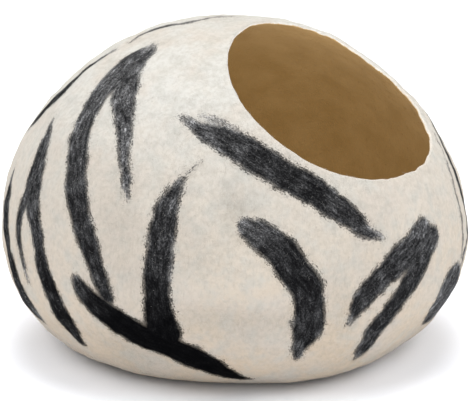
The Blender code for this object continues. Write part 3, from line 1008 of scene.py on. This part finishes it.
    def _mark(self, mesh: bpy.types.Mesh, points: Array, depth: Array) -> None:
        """Stores what the wool and the hair read at each point.

        Args:
            mesh: the finished mesh.
            points: (n, 3) its points.
            depth: (n,) 0 on the outer skin, 1 on the inner one, and between them over the lip.
        """
        outside = np.flatnonzero(depth < 1)
        place = points[outside]
        distance, cover, comb = self.layout.charcoal(self.pebble, place)
        distance += lumps(place, self.edge_wander, seed=21.0)
        store(mesh, "inner_layer", depth)
        for name, found, elsewhere in (
            ("stripe_mm", distance, FAR_MM), ("stripe_cover", cover, 1.0), ("stripe_comb", comb, 0.0),
            ("fold_mm", self.layout.fold_height(self.pebble, place), 0.0),
        ):
            stored = np.full((len(points), *found.shape[1:]), elsewhere)
            stored[outside] = found
            store(mesh, name, stored)


# ---- Loose hair ----

class CoatPlace(Enum):
    """Where a coat of hairs grows."""

    STRIPE_EDGES = "charcoal hairs along the edges of the stripes"
    OVER_STRIPES = "cream hairs matted over the stripes"
    CREAM = "cream hairs over the plain wool and the lip"
    INSIDE = "camel hairs inside the mouth"


@dataclass(frozen=True)
class HairCoat:
    """One coat of short curved hairs, laid over the shell by Geometry Nodes.

    Depths are those of the shell's layers: 0 outside, 1 inside, and between them over the lip.
    """

    name: str
    place: CoatPlace
    finish: LooseWool
    slot: str
    count: int
    length_mm: float
    thickness_mm: float
    lift_mm: float
    seed: int
    # sideways bend of the middle as a share of the length, and its height as a share of the lift
    bends: tuple[tuple[float, float], ...] = ((0.10, 1.0), (-0.22, 0.7), (0.34, 1.4))
    end_dip: float = -0.35          # the ends dip into the felt, as a share of the lift
    end_share: float = 0.15         # thickness of the ends
    corners: int = 3                # steps along a hair, and round it
    sizes: tuple[tuple[float, float, float], ...] = ((0.55, 0.7, 0.6), (1.35, 1.2, 1.3))
    lip_depth: float = 0.6          # outer coats end at this depth
    inner_depth: float = 0.8        # and the inner one starts at this one
    foot_height: float = 0.004      # outer coats are bare below it
    inner_height: float = 0.12      # and the inner one below this
    edge_spread_mm: float = 2.4
    edge_density: tuple[float, float] = (1.6, 0.6)      # where the cover is 0, and how much less at 1
    over_mm: float = 1.5            # pale hairs reach this far past a stripe's edge
    over_cover: float = 1.05        # and lie where the cover is less than this
    cream_mm: float = 1.0           # cream hairs end this far from it
    lip_density: float = 2.5

    def build(self, shell: bpy.types.Object) -> bpy.types.Object:
        """Grows the coat.

        Args:
            shell: the finished felt shell.

        Returns:
            The coat as one plain mesh piece.
        """
        host_mesh = shell.data.copy()
        host = add_object(self.name + "_host", host_mesh)
        share = self._share(host_mesh)
        store(host_mesh, "coat", share)
        tree = self._tree()
        modifier = host.modifiers.new("coat", "NODES")
        modifier.node_group = tree
        ready = {item.name: item.identifier for item in tree.interface.items_tree if item.in_out == "INPUT"}
        covered = sum(face.area * float(share[list(face.vertices)].mean()) for face in host_mesh.polygons)
        for name, value in (
            ("Density", self.count / covered), ("Length", self.length_mm * MM),
            ("Thickness", self.thickness_mm * MM), ("Lift", self.lift_mm * MM), ("Seed", self.seed),
            ("Wool", self.finish.material()),
        ):
            modifier[ready[name]] = value
        evaluated = host.evaluated_get(bpy.context.evaluated_depsgraph_get())
        mesh = bpy.data.meshes.new_from_object(evaluated)
        mesh.name = self.name
        bpy.data.objects.remove(host)
        bpy.data.meshes.remove(host_mesh)
        return add_object(self.name, mesh)

    def _share(self, mesh: bpy.types.Mesh) -> Array:
        """How thickly hairs grow at each point, 0 to 1, more over the lip."""
        away, cover, depth = np.zeros((3, len(mesh.vertices)), np.float32)
        for name, values in (("stripe_mm", away), ("stripe_cover", cover), ("inner_layer", depth)):
            mesh.attributes[name].data.foreach_get("value", values)
        places = np.zeros(len(mesh.vertices) * 3, np.float32)
        mesh.vertices.foreach_get("co", places)
        height = places[2::3]
        outer = (depth < self.lip_depth) & (height > self.foot_height)
        if self.place is CoatPlace.STRIPE_EDGES:
            most, less = self.edge_density
            return outer * bell(away, self.edge_spread_mm) * (most - cover * less)
        if self.place is CoatPlace.OVER_STRIPES:
            return outer * (away < self.over_mm) * np.maximum(self.over_cover - cover, 0)
        if self.place is CoatPlace.CREAM:
            return outer * (away > self.cream_mm) * np.where(depth > 0, self.lip_density, 1.0)
        return ((depth > self.inner_depth) & (height > self.inner_height)) * 1.0

    def _tree(self) -> bpy.types.NodeTree:
        """Node tree that scatters curved hairs, lays them flat and realizes them.

        Returns:
            The tree, with inputs for its sizes, seed and wool.
        """
        tree = bpy.data.node_groups.new(self.name, "GeometryNodeTree")
        for name, way, kind in (
            ("Geometry", "INPUT", "Geometry"), ("Density", "INPUT", "Float"), ("Length", "INPUT", "Float"),
            ("Thickness", "INPUT", "Float"), ("Lift", "INPUT", "Float"), ("Seed", "INPUT", "Int"),
            ("Wool", "INPUT", "Material"), ("Geometry", "OUTPUT", "Geometry"),
        ):
            tree.interface.new_socket(name, in_out=way, socket_type="NodeSocket" + kind)
        node = partial(add_node, tree)
        given = node(Kind.GIVEN).outputs
        density = node(Kind.PRODUCT, node(Kind.NAMED, "coat"), given["Density"])
        scatter = node(Kind.SCATTER, given["Geometry"], density, given["Seed"]).outputs
        bundle = node(Kind.BUNDLE)
        for hair in [self._hair(node, given, *bend) for bend in self.bends]:
            tree.links.new(node(Kind.SINGLE, hair), bundle.inputs["Geometry"])
        spin = node(Kind.RANDOM, 0.0, 2 * math.pi, given["Seed"])
        turned = node(Kind.TURN, scatter["Rotation"], node(Kind.SPIN, (0, 0, 1), spin))
        size = node(Kind.RANDOM_VECTOR, *self.sizes, given["Seed"])
        placed = node(Kind.PLANT, scatter["Points"], bundle.outputs["Geometry"], True, turned, size)
        node(Kind.RESULT, node(Kind.DRESS, node(Kind.REALIZE, placed), given["Wool"]))
        return tree

    def _hair(self, node: AddNode, given: bpy.types.NodeOutputs, bow: float, lift: float) -> Socket:
        """One hair: a low arch whose ends dip into the felt, thick in the middle and closed.

        Args:
            node: adds a node to the coat's tree.
            given: the tree's inputs.
            bow: sideways bend, as a share of the length.
            lift: height of the arch, as a share of the coat's lift.

        Returns:
            The hair's mesh.
        """
        start, middle, end = (
            node(Kind.VECTOR, node(Kind.PRODUCT, given["Length"], side),
                 node(Kind.PRODUCT, given["Length"], sway), node(Kind.PRODUCT, given["Lift"], rise))
            for side, sway, rise in ((-0.5, 0.0, self.end_dip), (0.0, bow, lift), (0.5, 0.0, self.end_dip))
        )
        line = node(Kind.SPAN, self.corners, start, middle, end)
        off = node(Kind.WITHOUT_SIGN, node(Kind.LESS, node(Kind.ALONG), 0.5))
        taper = node(Kind.FADE, off, 0.0, 0.5, 1.0, self.end_share)
        profile = node(Kind.CIRCLE, self.corners, node(Kind.PRODUCT, given["Thickness"], 0.5))
        return node(Kind.TUBE, line, profile, taper, True)


# ---- Floor, light and camera ----

def towards(bearing: float, elevation: float) -> Vector:
    """Direction from the cave to a viewer or a lamp.

    Args:
        bearing: radians, 0 for a viewer who looks along +Y.
        elevation: radians above the floor.

    Returns:
        A unit vector.
    """
    flat = math.cos(elevation)
    return Vector((math.sin(bearing) * flat, -math.cos(bearing) * flat, math.sin(elevation)))


@dataclass(frozen=True)
class Lamp:
    """A wide soft light a long way off, named for its side."""

    name: str
    bearing: float      # where it stands, in degrees, on the camera's scale
    elevation: float
    spread: float       # how wide it looks, in degrees
    floor_light: float  # how bright it alone makes a white floor

    def build(self) -> None:
        """Puts the lamp into the scene."""
        bearing, elevation = math.radians(self.bearing), math.radians(self.elevation)
        data = bpy.data.lights.new(self.name, "SUN")
        data.angle = math.radians(self.spread)
        data.energy = self.floor_light * math.pi / math.sin(elevation)
        aim(add_object(self.name, data), -towards(bearing, elevation))


@dataclass(frozen=True)
class Studio:
    """Pale floor, soft light from all sides and the photograph's viewpoint."""

    floor_half: float = 9.0
    floor_height: float = -0.0004   # just under the foot
    floor_colour: str = "#F8FAFF"
    floor_roughness: float = 0.9
    bearing: float = -49.66         # camera, degrees: 0 looks along +Y
    elevation: float = 15.46
    distance: float = 1.9
    aim_height: float = 0.1342
    aim_side: float = -0.0016
    focal_px: float = 1937.6        # for a picture 470 px wide
    picture_px: float = 470.0
    sensor_mm: float = 36
    sky_fade: Fade = (0.3, 0.95, 0.41, 0.55)    # strength of the sky, low to overhead
    lamps: tuple[Lamp, ...] = (
        Lamp("left_softbox", -120, 49, 40, 0.30),
        Lamp("right_softbox", 20, 46, 40, 0.29),
        Lamp("overhead_softbox", -50, 85, 20, 0.15),
        Lamp("back_softbox", 130, 65, 40, 0.46),
        Lamp("low_front_softbox", -35, 22, 45, 0.06),
    )
    # small lamp just inside the mouth that lifts the inner wool
    fill_place: tuple[float, float, float] = (-0.06, -0.12, 0.20)
    fill_aim: tuple[float, float, float] = (0.74, 0.62, 0.10)
    fill_size: float = 0.10
    fill_power: float = 0.40

    def build(self) -> None:
        """Makes the floor, the light and the camera."""
        self._floor()
        self._sky()
        for lamp in self.lamps:
            lamp.build()
        self._fill()
        self._camera()
        bpy.context.scene.view_settings.view_transform = "Standard"

    def _floor(self) -> None:
        """A plain pale floor just under the foot."""
        mesh = bpy.data.meshes.new("floor")
        corners = [(x * self.floor_half, y * self.floor_half, self.floor_height)
                   for x, y in ((-1, -1), (1, -1), (1, 1), (-1, 1))]
        mesh.from_pydata(corners, [], [(0, 1, 2, 3)])
        paint = bpy.data.materials.new("pale_floor")
        node = blank(paint)
        node(Kind.FINISH, node(Kind.SURFACE, linear(self.floor_colour), self.floor_roughness, 0.0))
        mesh.materials.append(paint)
        floor = add_object("floor", mesh)

    def _sky(self) -> None:
        """Even studio light, a little brighter overhead."""
        world = bpy.data.worlds.new("studio")
        node = blank(world)
        height = node(Kind.HEIGHT, node(Kind.WAY_OUT))
        strength = node(Kind.FADE, height, *self.sky_fade, interpolation_type="SMOOTHSTEP")
        node(Kind.WORLD, node(Kind.LIGHT, (1.0, 1.0, 1.0, 1.0), strength))
        bpy.context.scene.world = world

    def _fill(self) -> None:
        """The small lamp at the mouth: it shines inwards only and isn't seen."""
        data = bpy.data.lights.new("mouth_fill", "AREA")
        data.size = self.fill_size
        data.energy = self.fill_power
        lamp = add_object("mouth_fill", data)
        lamp.location = self.fill_place
        lamp.visible_camera = False
        aim(lamp, Vector(self.fill_aim))

    def _camera(self) -> None:
        """Camera at the photograph's angle, aimed at the middle of the cave."""
        bearing = math.radians(self.bearing)
        back = towards(bearing, math.radians(self.elevation))
        right = Vector((math.cos(bearing), math.sin(bearing), 0))
        data = bpy.data.cameras.new("camera")
        data.sensor_width = self.sensor_mm
        data.lens = self.focal_px / self.picture_px * data.sensor_width
        camera = add_object("camera", data)
        camera.location = Vector((0, 0, self.aim_height)) + right * self.aim_side + back * self.distance
        aim(camera, -back)
        bpy.context.scene.camera = camera


# ---- The cave ----

@dataclass(frozen=True)
class CatCave:
    """The dressed cave: the felt shell and its loose hair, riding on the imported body."""

    body: str = "root"
    node: str = "felt_shell"
    slot: str = "wool_cream"
    laid_share: float = 1.15        # wool laid, for each 1 of felt: the resist's edge and the cut mouth

    def build(self) -> list[bpy.types.Object]:
        """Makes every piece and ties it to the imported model.

        Returns:
            The pieces.
        """
        shell_maker = FeltShell(Pebble(), WetFelt())
        shell = shell_maker.build()
        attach(shell, self.body)
        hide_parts(self.node)
        coats = []
        for coat in self._coats():
            piece = coat.build(shell)
            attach(piece, self.body)
            coats.append(piece)
        return [shell, *coats]

    def _coats(self) -> tuple[HairCoat, ...]:
        """The coats of hair, from the stripes outwards."""
        charcoal = LooseWool("charcoal_wool_hair", "#141416", "#3C3B3D")
        cream = LooseWool("cream_wool_hair", "#BAB6AD", "#D3CFC7")
        pale = LooseWool("cream_wool_hair_over_charcoal", "#6E6C6A", "#B9B5AE")
        camel = LooseWool("camel_wool_hair", "#8E6936", "#B89058")
        return (
            HairCoat("charcoal_wisps", CoatPlace.STRIPE_EDGES, charcoal, "wool_charcoal",
                     4500, 4.0, 0.13, 0.3, 101),
            HairCoat("pale_wisps", CoatPlace.OVER_STRIPES, pale, "wool_cream",
                     3500, 3.6, 0.12, 0.3, 102),
            HairCoat("cream_fuzz", CoatPlace.CREAM, cream, "wool_cream",
                     8500, 7.0, 0.13, 0.5, 103),
            HairCoat("camel_fuzz", CoatPlace.INSIDE, camel, "wool_camel",
                     5000, 7.0, 0.18, 0.5, 104),
        )


def main() -> None:
    """Builds the studio and the cave, and reports each piece."""
    logging.basicConfig(level=logging.INFO, format="%(message)s")
    Studio().build()
    LOG.info("studio: floor, light and camera")
    for piece in CatCave().build():
        triangles = sum(len(face.vertices) - 2 for face in piece.data.polygons)
        LOG.info("%s: %d triangles", piece.name, triangles)


if __name__ == "__main__":
    main()
